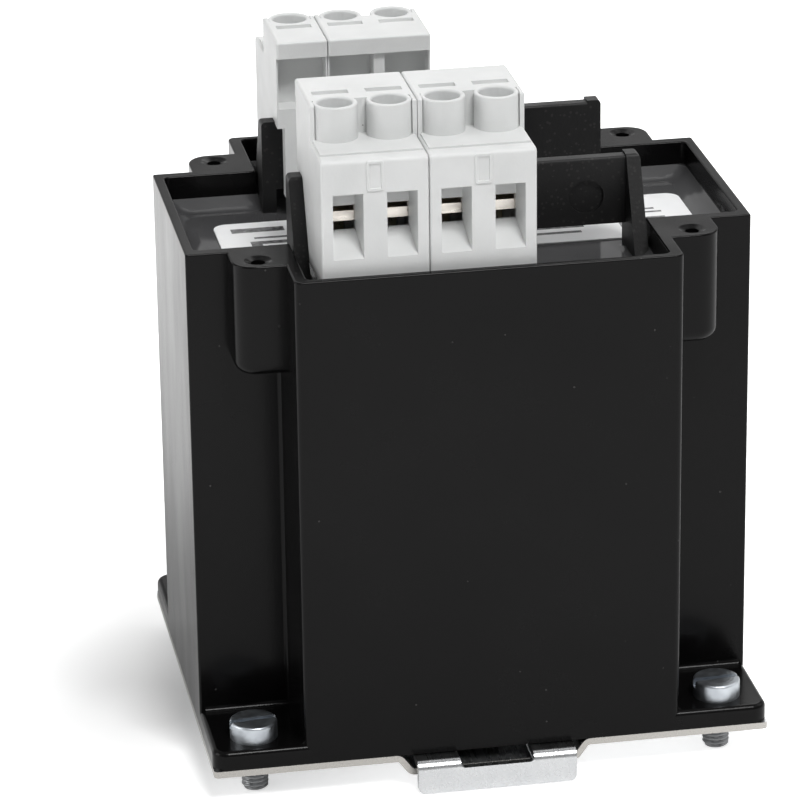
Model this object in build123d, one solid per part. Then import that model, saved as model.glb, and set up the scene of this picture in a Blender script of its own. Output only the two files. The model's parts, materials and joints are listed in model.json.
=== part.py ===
from build123d import *
import os

# A potted transformer for a 35 mm mounting rail.
# Millimetres. X runs along the rail, Y from the front to the rear, Z up.
# The origin is the middle of the rail's seat, on the underside of the base plate's channel.

# Laminated core
core_width = 96.0
core_leg = 32.0          # centre leg, and twice the width of a yoke or an outer leg
core_window = 48.0       # window height
core_gap = 0.7           # core to the wings' end walls

# Housing
wall = 2.3
floor_thickness = 3.5
bay_wall = 1.5           # front and rear walls of the bays
end_wall = 1.8           # end walls of the wings
housing_depth = 80.8
bay_width = 68.2
bay_reach = 18.1         # bays beyond the wings, to the front and the rear
wing_resin = 2.5         # core's face to the wing wall
resin_cover = 1.25       # resin above the core
freeboard = 6.25         # rim above the resin
wing_corner = 0.4        # upright outer edges of the wings
bay_corner = 1.2         # upright outer edges of the bays
nook_round = 0.8         # upright corners between the wings and the bays
inner_corner = 1.0       # upright inner edges
flange_corner = 2.7
flange_edge = 1.0
root_round = 0.9         # walls into the flange
edge_round = 0.35        # rim edges
meniscus_rise = 1.9
meniscus_run = 3.9       # from the wall to the level surface
meniscus_steps = 3
meniscus_lip = 0.15      # resin left on the wall at the top
pool_corner = 2.0

# Bosses under the rim
boss_width = 9.1
boss_depth = 8.7
boss_height = 20.5
boss_corner = 4.0
boss_toe = 2.4           # rounded lower edge
boss_hole_radius = 1.25
boss_hole_depth = 12.0
boss_hole_inset_x = 4.4  # hole axis from the bay wall
boss_hole_inset_y = 5.1  # hole axis from the wing wall
boss_dish_radius = 2.4
boss_dish_depth = 0.45

# Base plate
sheet = 1.25
channel_drop = 2.75
channel_slope = 2.0      # sideways run of the channel's flanks
channel_lean = 0.55      # flank's underside outside its top
bend_inside = 0.6
plate_corner = 0.8
pip_radius = 1.5         # pressed pips that carry the latch
pip_x = 10.5
pip_front = -30.0
pip_rear = 2.0
screw_inset_x = 8.1      # screw axis from the flange's side
screw_inset_y = 6.4      # screw axis from the flange's front and rear
plate_thread_radius = 2.5

# Plate screws
screw_shank_radius = 2.42
screw_hole_gap = 0.3     # shank to the flange hole
screw_head_radius = 4.25
screw_head_height = 3.3
screw_slot_width = 1.2
screw_slot_depth = 1.4
screw_stand = 0.1        # screw ends below the hooks
screw_edge = 0.5

# Mounting rail that the part clips on
rail_width = 35.0
rail_lip = 1.0
rail_gap = 0.1           # rail lip to each hook's foot
rail_side_gap = 0.25     # rail edge to each hook's leg
hook_reach = 1.5         # foot under the rail's edge
hook_width = 7.0
hook_offset = 9.0        # hook's middle from the part's middle

# Rail latch
latch_width = 28.8
latch_gap = 0.05         # latch above the pips
latch_top_gap = 0.25     # latch below the flange
latch_side_gap = 0.4
latch_overhang = 2.4     # lip's back face in front of the flange
latch_lip_stand = 0.1    # lip's lower edge above the hooks' undersides
latch_lip_corner = 1.2
latch_bend = 1.7
latch_travel = 4.5
latch_tail = 9.0         # rear end of the strip behind the middle
tool_hole_width = 13.3
tool_hole_length = 8.5
tool_hole_drop = 1.5     # how far the hole reaches down the lip
tool_hole_corner = 0.8
slot_gap = 0.5           # play around what passes through the plate

# Latch spring
spring_wire = 0.5
spring_diameter = 2.3    # outside
spring_length = 16.0
spring_turns = 8
spring_gap = 0.3         # coils to the window's sides
spring_lift = 0.2        # coils above the channel
stop_front = -12.0       # front face of the plate's spring stop
stop_width = 3.0
stop_gap = 0.1

# Terminal blocks, in the block's own frame: y from the front face rearwards, z from the base
pole_pitch = 9.4
block_gap = 0.1          # between neighbouring blocks
end_gap = 0.05           # end block to the rail's post
face_gap = 1.3           # face to the bay wall
ledge_height = 23.45
tower_height = 29.7
block_edge = 0.45        # rounded outer edges
brow_round = 0.9
brow_depth = 2.9         # lowered strip along the ledge's front
brow_step = 0.35
tube_radius = 3.9
tube_edge = 0.3
tube_axis = 12.3         # tube's axis behind the face
tube_bore = 3.0
bore_lip = 0.45          # rounded mouth of the bore
tower_front = 13.6       # solid part of the tower behind the face
cheek = 0.8              # side walls beside the tubes
cheek_front = 10.8
entry_width = 5.3
entry_bottom = 5.25
entry_height = 11.7
entry_depth = 6.0
entry_ramp = 3.3         # rise of the entry's floor
entry_taper = 0.5        # each side draws in
throat_height = 4.5
throat_wall = 0.6
recess_depth = 5.0
recess_bottom = 16.95
fascia = 3.1
recess_rib = 2.0
recess_cheek = 0.3
eave = 0.8               # fascia beyond the block below it
marker_width = 6.4
marker_length = 2.0
marker_depth = 0.9
marker_axis = 17.7
slot_wall = 1.6          # moulding between the contact bar's tail and the rail's slot
rail_slot_depth = 13.35
leg_thickness = 3.7      # leg behind the rail's wall
leg_inset = 1.3          # leg's sides inside the block's

# Clamps
cage_width = 6.2
cage_side = 1.0
cage_jaw = 1.8
cage_window = 6.1
cage_top = 1.6
cage_front_gap = 0.6     # throat wall to the cage
cage_gap = 0.2           # cage to the chamber's sides
tail_gap = 0.7           # chamber to the contact bar's tail
jaw_below_bar = 1.5      # jaw to the contact bar at rest
chamber_height = 21.05
bar_thickness = 1.5
bar_side_gap = 0.1
bar_height = 13.15       # bar's underside above the base
bar_tail = 1.55          # tail below the base
clamp_shank_radius = 1.95
clamp_thread_gap = 0.05
clamp_head_radius = 2.7
clamp_head_height = 2.0
clamp_shoulder = 1.4     # moulding between the chamber and the screw's head
clamp_shoulder_gap = 0.3
clamp_float = 0.05       # head above the shoulder
clamp_tip_gap = 0.1      # tip above the contact bar
clamp_slot_width = 0.8
clamp_slot_depth = 1.0

# Terminal rails
rail_wall = 2.6
rail_wall_gap = 0.1      # wall to each side of the block's slot
rail_rise = 11.05        # posts' top above the rim
rail_wall_drop = 0.4     # wall's top below the posts'
rail_wall_round = 0.5
rail_wall_foot = 4.5     # wall's underside above the resin
post_thickness = 2.5
post_gap = 0.4           # post to the bay wall
post_embed = 0.9         # post's foot below the resin
post_brow = 0.4          # post in front of the wall at the top
post_foot = 8.6          # post in front of the wall at the resin
post_round = 0.8
eject_radius = 3.1
eject_inset = 7.05       # mark's axis from the post
eject_drop = 7.55         # mark's axis below the posts' top
eject_depth = 0.7

# Coil
bobbin_gap = 0.2
bobbin_wall = 1.5
coil_side_gap = 1.1      # bobbin flange to the core's outer legs
coil_bay_gap = 0.6       # bobbin flange to the bay walls
coil_edge = 0.4          # bobbin flange beyond the finished coil
primary_share = 0.633    # primary's part of the copper
layer_insulation = 0.4
winding_corner = 1.0
lead_radius = 1.0
lead_core_gap = 0.85     # lead to the core's face
lead_gap = 0.2           # lead to the bobbin flange's hole
lead_bend = 2.0
lead_drop = 4.0          # secondary leads' entry below the bobbin's top flange
lead_clear = 0.2         # secondary leads to the bobbin flange's edge
lead_turn_share = 0.9    # lead's last bend within its run to the winding

# Label
label_width = 86.0
label_depth = 22.0
label_thickness = 0.25
label_corner = 2.5
label_shift_x = 1.4
label_shift_y = -2.0

# Poles of each block, from the left
front_pole_counts = (2, 2)
rear_pole_counts = (1, 2)

overcut = 1.0            # cuts run past the face they open
near = 0.05              # an edge this close to a place is meant
root_dip = 1 - 0.5 ** 0.5  # middle of a quarter round, from its corner

# Levels
wing_depth = housing_depth - 2 * bay_reach
core_stack = wing_depth - 2 * (wall + wing_resin)
plate_bottom = channel_drop
plate_top = plate_bottom + sheet
floor_top = plate_top + floor_thickness
yoke = core_leg / 2
core_height = core_window + 2 * yoke
core_top = floor_top + core_height
resin_top = core_top + resin_cover
rim = resin_top + freeboard
flange_top = floor_top
hook_foot_top = -(rail_lip + rail_gap)
hook_bottom = hook_foot_top - sheet
latch_top = plate_top - latch_top_gap
latch_bottom = latch_top - sheet
pip_top = latch_bottom - latch_gap
spring_axis = sheet + spring_lift + spring_diameter / 2

# Plan
housing_width = core_width + 2 * (core_gap + end_wall)
half_width = housing_width / 2
half_depth = housing_depth / 2
bay_inner = bay_width / 2 - wall
face_y = half_depth - bay_wall - face_gap
screw_x = half_width - screw_inset_x
screw_y = half_depth - screw_inset_y
hook_leg = rail_width / 2 + rail_side_gap
channel_inner = latch_width / 2 + latch_side_gap

# Terminals
post_top = rim + rail_rise
wall_top = post_top - rail_wall_drop
block_base = wall_top - rail_slot_depth
post_inner = bay_inner - post_gap - post_thickness
lead_row = core_stack / 2 + lead_core_gap + lead_radius
bar_end = face_y - lead_row + bar_thickness / 2
rail_slot_front = bar_end + slot_wall
rail_slot_end = rail_slot_front + rail_wall + 2 * rail_wall_gap
block_depth = rail_slot_end + leg_thickness
chamber_front = entry_depth + throat_wall
chamber_end = bar_end - bar_thickness - tail_gap
cage_front = chamber_front + cage_front_gap
cage_length = chamber_end - cage_gap - cage_front
cage_bottom = bar_height - jaw_below_bar - cage_jaw
shoulder_top = chamber_height + clamp_shoulder

# Coil
window_width = core_leg / 2
bobbin_bottom = floor_top + yoke + bobbin_gap
bobbin_top = floor_top + yoke + core_window - bobbin_gap
tube_half_x = core_leg / 2 + bobbin_gap + bobbin_wall
tube_half_y = core_stack / 2 + bobbin_gap + bobbin_wall
bobbin_half_x = min(core_leg / 2 + window_width - coil_side_gap, bay_inner - coil_bay_gap)
coil_build = bobbin_half_x - tube_half_x - coil_edge
bobbin_half_y = tube_half_y + coil_build + coil_edge
copper_build = coil_build - 2 * layer_insulation
primary_build = primary_share * copper_build
secondary_build = copper_build - primary_build

CENTRED = (Align.CENTER, Align.CENTER, Align.MIN)


def block(x0, x1, y0, y1, z0, z1):
    """A box between two corners."""
    return Pos(x0, y0, z0) * Box(x1 - x0, y1 - y0, z1 - z0, align=(Align.MIN, Align.MIN, Align.MIN))


def side_profile(points, x0, x1):
    """An outline in Y and Z, drawn out along X."""
    outline = make_face(Polyline(*[(x0, y, z) for y, z in points], close=True))
    return extrude(outline, amount=x1 - x0, dir=(1, 0, 0))


def front_profile(points, y0, y1):
    """An outline in X and Z, drawn out along Y."""
    outline = make_face(Polyline(*[(x, y0, z) for x, z in points], close=True))
    return extrude(outline, amount=y1 - y0, dir=(0, 1, 0))


def corners(x, y):
    """The four places at plus and minus x and y."""
    return [(i * x, j * y) for j in (-1, 1) for i in (-1, 1)]


def upright(shape, radius):
    """Rounds every upright edge."""
    return fillet(shape.edges().filter_by(Axis.Z), radius)


def edges_at(shape, places):
    """Front-to-rear edges at each X and Z, on both sides."""
    def listed(edge):
        spot = edge.center()
        return any(abs(abs(spot.X) - x) + abs(spot.Z - z) < near for x, z in places)
    return shape.edges().filter_by(Axis.Y).filter_by(listed)


def cross(wing_round, bay_round, z0, z1):
    """The housing's cross-shaped outside, rounded at its outer corners."""
    wings = Box(housing_width, wing_depth, z1 - z0, align=CENTRED)
    bays = Box(bay_width, housing_depth, z1 - z0, align=CENTRED)
    return Pos(0, 0, z0) * (upright(wings, wing_round) + upright(bays, bay_round))


def inner_plan(shrink, corner, z):
    """The cross-shaped plan inside the walls, drawn in further and rounded at its outer corners."""
    side = wall + shrink
    wings = RectangleRounded(housing_width - 2 * (end_wall + shrink), wing_depth - 2 * side, corner)
    bays = RectangleRounded(bay_width - 2 * side, housing_depth - 2 * (bay_wall + shrink), corner)
    return Pos(0, 0, z) * (wings + bays)


def wall_roots(sx, sy):
    """Rounded roots in one corner, where a wing wall and a bay wall meet the flange."""
    bow = ThreePointArc((root_round, 0), (root_round * root_dip, root_round * root_dip), (0, root_round))
    section = make_face(Polyline((0, root_round), (0, 0), (root_round, 0)) + bow)
    wing_run = half_width - flange_edge - bay_width / 2
    bay_run = half_depth - flange_edge - wing_depth / 2
    along_wing = extrude(Plane.YZ * section, amount=wing_run)
    along_bay = extrude(Plane.XZ * section, amount=-bay_run)
    roots = along_wing + along_bay
    if sx < 0:
        roots = mirror(roots, Plane.YZ)
    if sy < 0:
        roots = mirror(roots, Plane.XZ)
    return roots


def housing():
    """Cup, flange and rim bosses, moulded as one."""
    flange = Pos(0, 0, plate_top) * Box(housing_width, housing_depth, floor_thickness, align=CENTRED)
    flange = upright(flange, flange_corner)
    flange = fillet(flange.faces().sort_by(Axis.Z)[-1].edges(), flange_edge)
    cup = cross(wing_corner, bay_corner, plate_top, rim)
    nooks = cup.edges().filter_by(Axis.Z).filter_by(lambda e: abs(abs(e.center().X) - bay_width / 2) < near)
    nooks = nooks.filter_by(lambda e: abs(abs(e.center().Y) - wing_depth / 2) < near)
    body = flange + fillet(nooks, nook_round)
    for sx, sy in corners(1, 1):
        body += Pos(sx * bay_width / 2, sy * wing_depth / 2, flange_top) * wall_roots(sx, sy)
        boss = Box(boss_width, boss_depth, boss_height, align=(Align.MIN, Align.MIN, Align.MIN))
        outer = boss.edges().filter_by(Axis.Z).sort_by(Axis.X)[2:].sort_by(Axis.Y)[-1]
        boss = fillet(outer, boss_corner)
        toes = boss.faces().sort_by(Axis.Z)[0].edges()
        toes = toes.filter_by(lambda e: min(e.center().X, e.center().Y) > edge_round)
        boss = fillet(toes, boss_toe)
        if sx < 0:
            boss = mirror(boss, Plane.YZ)
        if sy < 0:
            boss = mirror(boss, Plane.XZ)
        body += Pos(sx * bay_width / 2, sy * wing_depth / 2, rim - boss_height) * boss
    body -= extrude(inner_plan(0, inner_corner, floor_top), amount=rim + overcut - floor_top)
    body = fillet(body.faces().sort_by(Axis.Z)[-1].edges(), edge_round)
    for x, y in corners(bay_width / 2 + boss_hole_inset_x, wing_depth / 2 + boss_hole_inset_y):
        pilot = Cylinder(boss_hole_radius, boss_hole_depth + overcut, align=CENTRED)
        dish = Cone(boss_hole_radius, boss_dish_radius, boss_dish_depth, align=CENTRED)
        body -= Pos(x, y, rim - boss_hole_depth) * pilot
        body -= Pos(x, y, rim - boss_dish_depth) * dish
    for x, y in corners(screw_x, screw_y):
        hole = Cylinder(screw_shank_radius + screw_hole_gap, floor_thickness + 2 * overcut, align=CENTRED)
        body -= Pos(x, y, plate_top - overcut) * hole
    return body


def potting_resin(inserts):
    """Resin around the core and the coil, drawn up along the walls."""
    resin = extrude(inner_plan(0, inner_corner, floor_top), amount=resin_top + meniscus_rise - floor_top)
    pool = []
    for step in range(meniscus_steps + 1):
        share = step / meniscus_steps
        level = resin_top + meniscus_rise * (1 - share) ** 2
        pool.append(inner_plan(meniscus_lip + meniscus_run * share, pool_corner, level))
    resin -= loft(pool)
    core_half = core_width / 2
    resin -= block(-core_half, core_half, -core_stack / 2, core_stack / 2, floor_top, core_top)
    resin -= block(-bobbin_half_x, bobbin_half_x, -bobbin_half_y, bobbin_half_y, bobbin_bottom, bobbin_top)
    for insert in inserts:
        resin -= insert
    return resin


def rating_label():
    """Blank label on the resin."""
    face = RectangleRounded(label_width, label_depth, label_corner)
    return Pos(label_shift_x, label_shift_y, resin_top) * extrude(face, amount=label_thickness)


def base_plate():
    """Pressed plate with a channel for the latch, a spring stop and two fixed rail hooks."""
    foot = channel_inner + channel_lean
    under = [(half_width, plate_bottom), (foot + channel_slope, plate_bottom), (foot, 0.0)]
    over = [(channel_inner, sheet), (channel_inner + channel_slope, plate_top), (half_width, plate_top)]
    half = under + [(-x, z) for x, z in reversed(under)]
    half += [(-x, z) for x, z in reversed(over)] + over
    plate = front_profile(half, -half_depth, half_depth)
    hollows = [(channel_inner, sheet), (foot + channel_slope, plate_bottom)]
    crowns = [(foot, 0.0), (channel_inner + channel_slope, plate_top)]
    plate = fillet(edges_at(plate, hollows), bend_inside)
    plate = fillet(edges_at(plate, crowns), bend_inside + sheet)
    blank = Box(housing_width, housing_depth, plate_top, align=CENTRED)
    plate &= upright(blank, plate_corner)
    for x, y in corners(screw_x, screw_y):
        plate -= Pos(x, y, 0) * Cylinder(plate_thread_radius, plate_top + overcut, align=CENTRED)

    stop_top = spring_axis + spring_diameter / 2
    plate += block(-stop_width / 2, stop_width / 2, stop_front, stop_front + sheet, 0, stop_top)
    stop_blank = stop_front - slot_gap
    plate -= block(
        -stop_width / 2, stop_width / 2, stop_blank - stop_top, stop_blank, -overcut, sheet + overcut
    )
    for x in (-pip_x, pip_x):
        for y in (pip_front, pip_rear):
            plate += Pos(x, y, 0) * Cylinder(pip_radius, pip_top, align=CENTRED)

    hook_length = hook_reach + rail_side_gap - hook_foot_top
    for side in (-1, 1):
        x0 = side * hook_offset - hook_width / 2
        x1 = x0 + hook_width
        leg = block(x0, x1, hook_leg, hook_leg + sheet, hook_bottom, sheet)
        toe = block(x0, x1, hook_leg - rail_side_gap - hook_reach, hook_leg, hook_bottom, hook_foot_top)
        plate -= block(x0, x1, hook_leg - hook_length, hook_leg, -overcut, sheet + overcut)
        plate += leg + toe
        slot_front = -hook_leg - sheet - latch_travel - slot_gap
        plate -= block(
            x0 - slot_gap, x1 + slot_gap, slot_front, -hook_leg + slot_gap, -overcut, sheet + overcut
        )
    return plate


def rail_latch():
    """Sliding strip with a pull lip, two rail hooks and a window for the spring."""
    half = latch_width / 2
    lip_back = -half_depth - latch_overhang
    lip_front = lip_back - sheet
    lip_bottom = hook_bottom + latch_lip_stand
    strip = block(-half, half, lip_front, latch_tail, latch_bottom, latch_top)
    strip += block(-half, half, lip_front, lip_back, lip_bottom, latch_top)
    across = strip.edges().filter_by(Axis.X)
    under = across.filter_by_position(Axis.Z, latch_bottom - near, latch_bottom + near)
    strip = fillet(under.sort_by(Axis.Y)[0], latch_bend - sheet)
    nose = strip.edges().filter_by(Axis.X).group_by(Axis.Y)[0].sort_by(Axis.Z)[-1]
    strip = fillet(nose, latch_bend)
    toes = strip.edges().filter_by(Axis.Y).group_by(Axis.Z)[0]
    strip = fillet(toes, latch_lip_corner)
    tool_half = tool_hole_width / 2
    tool_end = lip_front + tool_hole_length
    tool_low = latch_top - tool_hole_drop
    tool = block(-tool_half, tool_half, lip_front - overcut, tool_end, tool_low, latch_top + overcut)
    strip -= fillet(tool.edges().filter_by(Axis.Y).group_by(Axis.Z)[0], tool_hole_corner)

    hook_length = hook_reach + rail_side_gap + latch_bottom - hook_foot_top
    for side in (-1, 1):
        x0 = side * hook_offset - hook_width / 2
        x1 = x0 + hook_width
        strip -= block(
            x0, x1, -hook_leg, -hook_leg + hook_length, latch_bottom - overcut, latch_top + overcut
        )
        strip += block(x0, x1, -hook_leg - sheet, -hook_leg, hook_bottom, latch_top)
        toe_end = -hook_leg + rail_side_gap + hook_reach
        strip += block(x0, x1, -hook_leg, toe_end, hook_bottom, hook_foot_top)
    window = max(spring_diameter, stop_width) / 2 + spring_gap
    window_rear = stop_front + sheet + spring_length
    strip -= block(
        -window, window, stop_front - stop_gap, window_rear, latch_bottom - overcut, latch_top + overcut
    )
    return strip


def latch_spring():
    """Compression spring between the plate's stop and the latch's window."""
    coil_radius = (spring_diameter - spring_wire) / 2
    run = spring_length - spring_wire
    path = Helix(run / spring_turns, run, coil_radius)
    section = Plane(origin=path @ 0, z_dir=path % 0) * Circle(spring_wire / 2)
    coil = sweep(section, path=path, is_frenet=True)
    start = stop_front + sheet + spring_wire / 2
    return Pos(0, start, spring_axis) * Rot(-90, 0, 0) * coil


def plate_screws():
    """Four slotted cheese-head screws through the flange into the plate."""
    end = hook_bottom - screw_stand
    shank = Pos(0, 0, end) * Cylinder(screw_shank_radius, flange_top - end, align=CENTRED)
    shank = chamfer(shank.edges().sort_by(Axis.Z)[0], screw_edge)
    head = Pos(0, 0, flange_top) * Cylinder(screw_head_radius, screw_head_height, align=CENTRED)
    head = fillet(head.edges().sort_by(Axis.Z)[-1], screw_edge)
    slot_floor = flange_top + screw_head_height - screw_slot_depth
    slot_run = 2 * (screw_head_radius + overcut)
    slot = Box(slot_run, screw_slot_width, screw_slot_depth + overcut, align=CENTRED)
    screw = shank + head - Pos(0, 0, slot_floor) * slot
    return [Pos(x, y, 0) * screw for x, y in corners(screw_x, screw_y)]


def pole_centres(poles):
    """Pole axes across a block, from the block's middle."""
    return [(i - (poles - 1) / 2) * pole_pitch for i in range(poles)]


def wire_entry(half, end_half, end_bottom, top):
    """Funnel that draws in from the face to the throat."""
    mouth = [(-half, 0, entry_bottom), (half, 0, entry_bottom), (half, 0, top), (-half, 0, top)]
    end = [(-end_half, entry_depth, end_bottom), (end_half, entry_depth, end_bottom)]
    end += [(end_half, entry_depth, top), (-end_half, entry_depth, top)]
    sections = [make_face(Polyline(*points, close=True)) for points in (mouth, end)]
    return loft(sections, ruled=True)


def terminal_block(poles):
    """Moulded body with wire entries, screw tubes and a slot for the rail's wall."""
    half = (poles * pole_pitch - block_gap) / 2
    front_top = ledge_height - brow_step
    body = block(-half, half, 0, tower_front + overcut, 0, front_top)
    brow = body.edges().filter_by(Axis.X).group_by(Axis.Y)[0].sort_by(Axis.Z)[-1]
    body = fillet(brow, brow_round)
    body = fillet(body.edges().filter_by(Axis.Z).group_by(Axis.Y)[0], block_edge)
    tower = block(-half, half, cheek_front, block_depth, 0, tower_height)
    tower = fillet(tower.edges().filter_by(Axis.Z).group_by(Axis.Y)[-1], block_edge)
    tower = fillet(tower.faces().sort_by(Axis.Z)[-1].edges(), block_edge)
    body += tower
    body -= block(
        -half + cheek, half - cheek, cheek_front - overcut, tower_front, front_top, tower_height + overcut
    )
    body += block(-half + block_edge, half - block_edge, brow_depth, tower_front, front_top, ledge_height)
    for x in pole_centres(poles):
        tube = Cylinder(tube_radius, tower_height - ledge_height, align=CENTRED)
        tube = fillet(tube.edges().sort_by(Axis.Z)[-1], tube_edge)
        body += Pos(x, tube_axis, ledge_height) * tube

    recess_top = tower_height - fascia
    recess_back = block_depth - recess_depth
    eave_back = block_depth - eave
    body -= block(-half - overcut, half + overcut, eave_back, block_depth + overcut, -overcut, recess_top)
    inner = half - recess_cheek
    body -= block(-inner, inner, recess_back, block_depth, recess_bottom, recess_top)
    for x in pole_centres(poles - 1):
        rib = recess_rib / 2
        body += block(x - rib, x + rib, recess_back, eave_back, recess_bottom, recess_top)
    body -= block(-half - overcut, half + overcut, rail_slot_front, rail_slot_end, -overcut, rail_slot_depth)
    for x0 in (-half - overcut, half - leg_inset):
        x1 = x0 + overcut + leg_inset
        body -= block(x0, x1, rail_slot_end, block_depth + overcut, -overcut, rail_slot_depth)

    entry_half = entry_width / 2
    entry_top = entry_bottom + entry_height
    throat_bottom = entry_bottom + entry_ramp
    throat_top = throat_bottom + throat_height
    throat_half = entry_half - entry_taper
    room = cage_width / 2 + cage_gap
    bar_room = cage_width / 2 - cage_side
    bore = Cylinder(tube_bore, tower_height - shoulder_top + overcut, align=CENTRED)
    mark_half = marker_width / 2
    mark_front = marker_axis - marker_length / 2
    for x in pole_centres(poles):
        body -= Pos(x, 0, 0) * wire_entry(entry_half, throat_half, throat_bottom, entry_top)
        throat = block(-throat_half, throat_half, entry_depth, chamber_front, throat_bottom, throat_top)
        body -= Pos(x, 0, 0) * throat
        body -= block(x - room, x + room, chamber_front, chamber_end, -overcut, chamber_height)
        body -= block(x - bar_room, x + bar_room, chamber_end, bar_end, -overcut, bar_height + bar_thickness)
        shank_hole = Cylinder(clamp_shank_radius + clamp_shoulder_gap, clamp_shoulder, align=CENTRED)
        body -= Pos(x, tube_axis, chamber_height) * shank_hole
        body -= Pos(x, tube_axis, shoulder_top) * bore
        mark = block(-mark_half, mark_half, 0, marker_length, -marker_depth, overcut)
        body -= Pos(x, mark_front, tower_height) * mark
    mouths = body.edges().filter_by(GeomType.CIRCLE)
    mouths = mouths.filter_by_position(Axis.Z, tower_height - near, tower_height + near)
    return fillet(mouths.filter_by(lambda e: abs(e.radius - tube_bore) < near), bore_lip)


def clamp_cage():
    """Folded cage that draws the wire up against the contact bar."""
    top = cage_bottom + cage_jaw + cage_window + cage_top
    half = cage_width / 2
    cage_end = cage_front + cage_length
    cage = block(-half, half, cage_front, cage_end, cage_bottom, top)
    inner = half - cage_side
    jaw_top = cage_bottom + cage_jaw
    cage -= block(-inner, inner, cage_front - overcut, cage_end + overcut, jaw_top, top - cage_top)
    thread = Cylinder(clamp_shank_radius + clamp_thread_gap, cage_top, align=CENTRED)
    return cage - Pos(0, tube_axis, top - cage_top) * thread


def contact_bar():
    """Bar through the cage, turned down to a tail for the lead."""
    half = cage_width / 2 - cage_side - bar_side_gap
    bar = block(-half, half, cage_front, bar_end, bar_height, bar_height + bar_thickness)
    return bar + block(-half, half, bar_end - bar_thickness, bar_end, -bar_tail, bar_height)


def clamp_screw():
    """Slotted screw held in the tube, threaded into the cage."""
    seat = shoulder_top + clamp_float
    tip = bar_height + bar_thickness + clamp_tip_gap
    screw = Pos(0, tube_axis, tip) * Cylinder(clamp_shank_radius, seat - tip, align=CENTRED)
    screw += Pos(0, tube_axis, seat) * Cylinder(clamp_head_radius, clamp_head_height, align=CENTRED)
    slot_floor = seat + clamp_head_height - clamp_slot_depth
    slot_run = 2 * (clamp_head_radius + overcut)
    slot = Box(slot_run, clamp_slot_width, clamp_slot_depth + overcut, align=CENTRED)
    return screw - Pos(0, tube_axis, slot_floor) * slot


def terminal_rail():
    """Wall that carries the blocks, with a buttress post at each end."""
    wall_front = -face_y + rail_slot_front + rail_wall_gap
    wall_rear = wall_front + rail_wall
    bottom = resin_top + rail_wall_foot
    rail = block(-post_inner, post_inner, wall_front, wall_rear, bottom, wall_top)
    rail = fillet(rail.edges().filter_by(Axis.X).group_by(Axis.Z)[-1], rail_wall_round)
    foot = resin_top - post_embed
    outline = [
        (wall_rear, post_top),
        (wall_front - post_brow, post_top),
        (wall_front - post_foot, foot),
        (wall_rear, foot),
    ]
    for x0 in (-post_inner - post_thickness, post_inner):
        post = side_profile(outline, x0, x0 + post_thickness)
        crest = post.edges().filter_by(Axis.X).group_by(Axis.Z)[-1].sort_by(Axis.Y)[0]
        sides = post.edges().filter_by(Axis.Y).group_by(Axis.Z)[-1].sort_by(Axis.X)
        outer = sides[0] if x0 < 0 else sides[-1]
        rail += fillet([crest, outer], post_round)
    mark = Rot(90, 0, 0) * Cylinder(eject_radius, 2 * eject_depth)
    return rail - Pos(post_inner - eject_inset, wall_front, post_top - eject_drop) * mark


def core_e_stack():
    """E laminations, yoke down."""
    half = core_width / 2
    y = core_stack / 2
    stack = block(-half, half, -y, y, floor_top, core_top - yoke)
    for x0 in (-core_leg / 2 - window_width, core_leg / 2):
        stack -= block(x0, x0 + window_width, -y, y, floor_top + yoke, core_top)
    return stack


def core_i_stack():
    """I laminations across the legs."""
    half = core_width / 2
    return block(-half, half, -core_stack / 2, core_stack / 2, core_top - yoke, core_top)


def ring(half_x, half_y, corner, build, z0, z1):
    """A wound layer around the bobbin's tube."""
    inner = RectangleRounded(2 * half_x, 2 * half_y, corner)
    outer = RectangleRounded(2 * (half_x + build), 2 * (half_y + build), corner + build)
    return Pos(0, 0, z0) * extrude(outer - inner, amount=z1 - z0)


def bobbin(lead_places):
    """Tube around the centre leg with a flange at each end."""
    tube = RectangleRounded(2 * tube_half_x, 2 * tube_half_y, winding_corner)
    flange = Rectangle(2 * bobbin_half_x, 2 * bobbin_half_y)
    bore = Rectangle(core_leg + 2 * bobbin_gap, core_stack + 2 * bobbin_gap)
    former = Pos(0, 0, bobbin_bottom) * extrude(tube, amount=bobbin_top - bobbin_bottom)
    former += Pos(0, 0, bobbin_bottom) * extrude(flange, amount=bobbin_wall)
    former += Pos(0, 0, bobbin_top - bobbin_wall) * extrude(flange, amount=bobbin_wall)
    former -= Pos(0, 0, bobbin_bottom) * extrude(bore, amount=bobbin_top - bobbin_bottom)
    hole = Cylinder(lead_radius + lead_gap, bobbin_wall, align=CENTRED)
    for x, y in lead_places:
        former -= Pos(x, y, bobbin_top - bobbin_wall) * hole
    return former


def straight_lead(x, y, top):
    """Lead up through the bobbin's top flange from the inner winding."""
    start = bobbin_top - bobbin_wall
    return Pos(x, y, start) * Cylinder(lead_radius, top - start, align=CENTRED)


def bent_lead(x, y, top, winding_y):
    """Lead from the outer winding, round the edge of the bobbin's top flange."""
    way = -1 if y < 0 else 1
    outside = way * (bobbin_half_y + lead_clear + lead_radius)
    over = bobbin_top + lead_clear + lead_radius + lead_bend
    entry = bobbin_top - bobbin_wall - lead_drop
    turn = min(lead_bend, lead_turn_share * (abs(outside) - winding_y))
    route = [(x, y, top), (x, y, over), (x, outside, over)]
    route += [(x, outside, entry), (x, way * winding_y, entry)]
    path = FilletPolyline(*route, radius=turn)
    section = Plane(origin=(x, y, top), z_dir=(0, 0, -1)) * Circle(lead_radius)
    return sweep(section, path=path)


def block_places(counts):
    """Middle of each block on a rail, from the left end."""
    places = []
    left = -post_inner + end_gap
    for poles in counts:
        width = poles * pole_pitch - block_gap
        places.append((poles, left + width / 2))
        left += width + block_gap
    return places


def at_front(x):
    """Moves a terminal piece to its place on the front rail."""
    return Pos(x, -face_y, block_base)


def at_rear(x):
    """Turns a terminal piece to face the rear, at its place on the rear rail."""
    return Pos(x, face_y, block_base) * Rot(0, 0, 180)


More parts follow.
